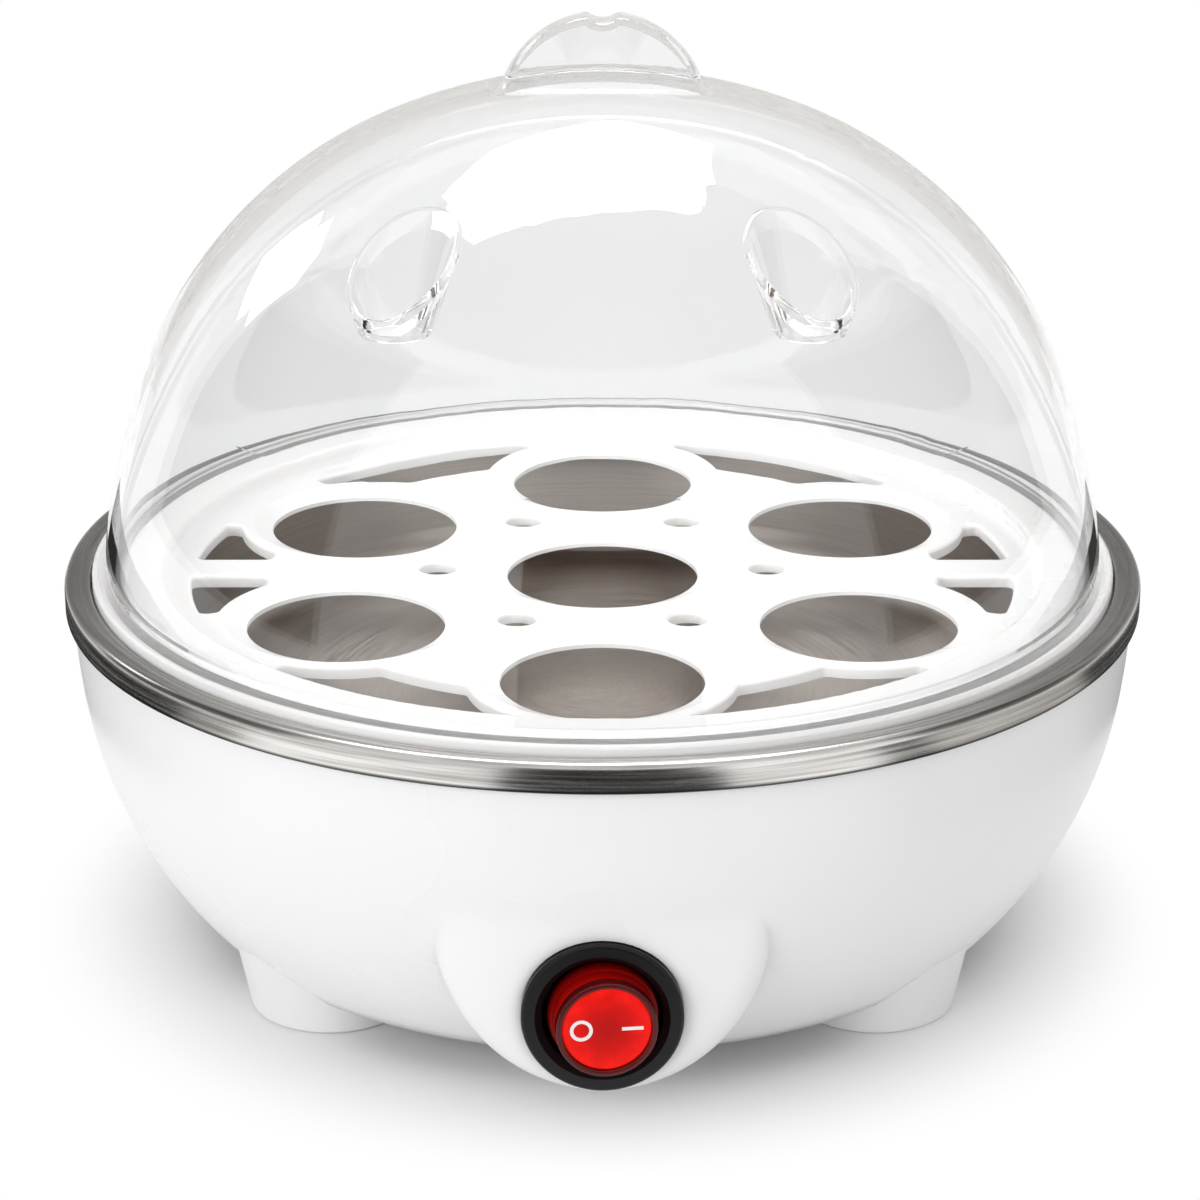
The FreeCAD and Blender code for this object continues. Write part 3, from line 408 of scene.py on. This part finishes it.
def make_floor():
    """Pale floor that keeps the object's shadow and is plain white farther out where it is seen."""
    half, near, far = 4.0, 0.060, 0.095
    scale, detail = 60.0, 3.0
    low, high = (0.79, 0.79, 0.79), (0.81, 0.81, 0.81)
    surface = Surface("floor", Roughness=0.9, Specular_IOR_Level=0.0)
    surface.feed("Base Color", surface.colours(surface.noise(scale, detail), low, high))
    _, radius, _ = surface.from_axis()
    outer = surface.spread(radius, 0.0, 1.0, near, far, "SMOOTHSTEP")
    share = surface.calculate("MULTIPLY", direct_view(surface), outer)
    white = surface.add("Emission", {"Strength": 1.0}).outputs[0]
    mixed = surface.add("MixShader", {0: share, 1: surface.shader.outputs[0], 2: white}).outputs[0]
    surface.tree.links.new(mixed, surface.tree.nodes["Material Output"].inputs["Surface"])
    corners = [(-half, -half, 0), (half, -half, 0), (half, half, 0), (-half, half, 0)]
    add_mesh("floor", corners, [(0, 1, 2, 3)], "floor")


def make_world():
    """White where it is seen, and an even fill light elsewhere."""
    fill = 0.61
    world = bpy.data.worlds.new("studio")
    world.use_nodes = True
    tree = world.node_tree
    path = tree.nodes.new("ShaderNodeLightPath")
    background = tree.nodes["Background"]
    seen = path.outputs["Is Camera Ray"]
    for ray in ("Is Glossy Ray", "Is Transmission Ray"):
        either = tree.nodes.new("ShaderNodeMath")
        either.operation = "MAXIMUM"
        tree.links.new(seen, either.inputs[0])
        tree.links.new(path.outputs[ray], either.inputs[1])
        seen = either.outputs[0]
    level = tree.nodes.new("ShaderNodeMapRange")
    level.inputs["To Min"].default_value = fill
    level.inputs["To Max"].default_value = 1.0
    tree.links.new(seen, level.inputs["Value"])
    tree.links.new(level.outputs["Result"], background.inputs["Strength"])
    background.inputs["Color"].default_value = (1.0, 1.0, 1.0, 1.0)
    scene.world = world


def add_card(name, corners, faces):
    """Studio card that only reflections show, in the material of its name."""
    card = add_mesh(name, corners, faces, name)
    card.visible_camera = False
    card.visible_transmission = False
    card.visible_shadow = False
    card.visible_diffuse = False


def add_flag(name, start, end, profile, tone):
    """Round card from angle start to end from the front; profile is its (radius, height) points."""
    steps, count = 12, len(profile)
    weave_scale, weave_detail, weave_share = 300.0, 2.0, 0.9
    warm = shaded((1.0, 0.98, 0.95), tone)
    corners, faces = [], []
    for step in range(steps + 1):
        angle = math.radians(start + (end - start) * step / steps)
        for radius, height in profile:
            corners.append((radius * math.sin(angle), -radius * math.cos(angle), height))
    for step in range(steps):
        for index in range(count - 1):
            here, there = step * count + index, (step + 1) * count + index
            faces.append((here, here + 1, there + 1, there))
    surface = Surface(name, Roughness=1.0, Specular_IOR_Level=0.0)
    weave = surface.noise(weave_scale, weave_detail)
    surface.feed("Base Color", surface.colours(weave, shaded(warm, weave_share), warm))
    add_card(name, corners, faces)


def add_glow(name, corners):
    """Glowing card with these corners."""
    strength = 8.0
    Surface(name, Emission_Color=(1.0, 1.0, 1.0, 1.0), Emission_Strength=strength, Roughness=1.0)
    add_card(name, corners, [tuple(range(len(corners)))])


def add_softbox(name, place, size, power):
    """Square soft light on the object that reflections don't show."""
    target = (0.0, 0.0, 0.05)
    light = bpy.data.lights.new(name, "AREA")
    light.shape = "RECTANGLE"
    light.size, light.size_y = size, size
    light.energy = power
    softbox = bpy.data.objects.new(name, light)
    scene.collection.objects.link(softbox)
    softbox.location = place
    aim(softbox, target)
    softbox.visible_glossy = False


CARD_UP = 0.001
ROOM_R = 0.9
BESIDE = [(0.13, CARD_UP), (0.34, CARD_UP)]
BEFORE = [(0.14, CARD_UP), (0.7, CARD_UP), (0.7, 0.3)]
BEHIND = [(0.2, CARD_UP), (ROOM_R, CARD_UP)]
SIDE_WALL = [(ROOM_R, 0.0), (ROOM_R, 1.1)]
BACK_WALL = [(ROOM_R, 0.0), (ROOM_R, 0.8)]

make_floor()
make_world()
for flag in (
        ("flag_front", -17.0, 20.0, BEFORE, 0.03),
        ("flag_stripe", 47.0, 57.0, BESIDE, 0.08),
        ("flag_grey_right", 57.0, 98.0, BESIDE, 0.6),
        ("flag_grey_left", -78.0, -64.0, BESIDE, 0.4),
        ("flag_floor_left", -142.0, -78.0, BESIDE, 0.03),
        ("flag_floor_right", 98.0, 142.0, BESIDE, 0.05),
        ("flag_wall_left", -62.0, -117.0, SIDE_WALL, 0.25),
        ("flag_wall_right", 62.0, 117.0, SIDE_WALL, 0.25),
        ("flag_back", 139.0, 221.0, BACK_WALL, 0.88),
        ("flag_behind", 160.0, 200.0, BEHIND, 0.85)):
    add_flag(*flag)
add_glow("top_softbox", [
    (-0.41, 0.47, 1.0), (-0.36, 0.16, 1.0), (0.25, 0.29, 1.0),
    (0.27, 0.78, 1.0), (0.02, 0.91, 1.0), (-0.27, 0.72, 1.0)])
add_glow("left_strip", [
    (-0.584, 0.616, 0.662), (-0.706, 0.611, 0.518), (-0.849, 0.460, 0.457),
    (-0.770, 0.419, 0.633), (-0.682, 0.484, 0.688)])
for lamp in (
        ("left_fill", (-1.0, -0.9, 0.45), 0.9, 8.4),
        ("top_fill", (-0.1, 0.0, 1.0), 0.6, 0.8),
        ("back_fill", (0.5, 1.2, 0.5), 0.9, 2.5),
        ("right_fill", (0.9, -1.0, 0.45), 0.9, 3.0)):
    add_softbox(*lamp)

scene.view_settings.view_transform = "Standard"
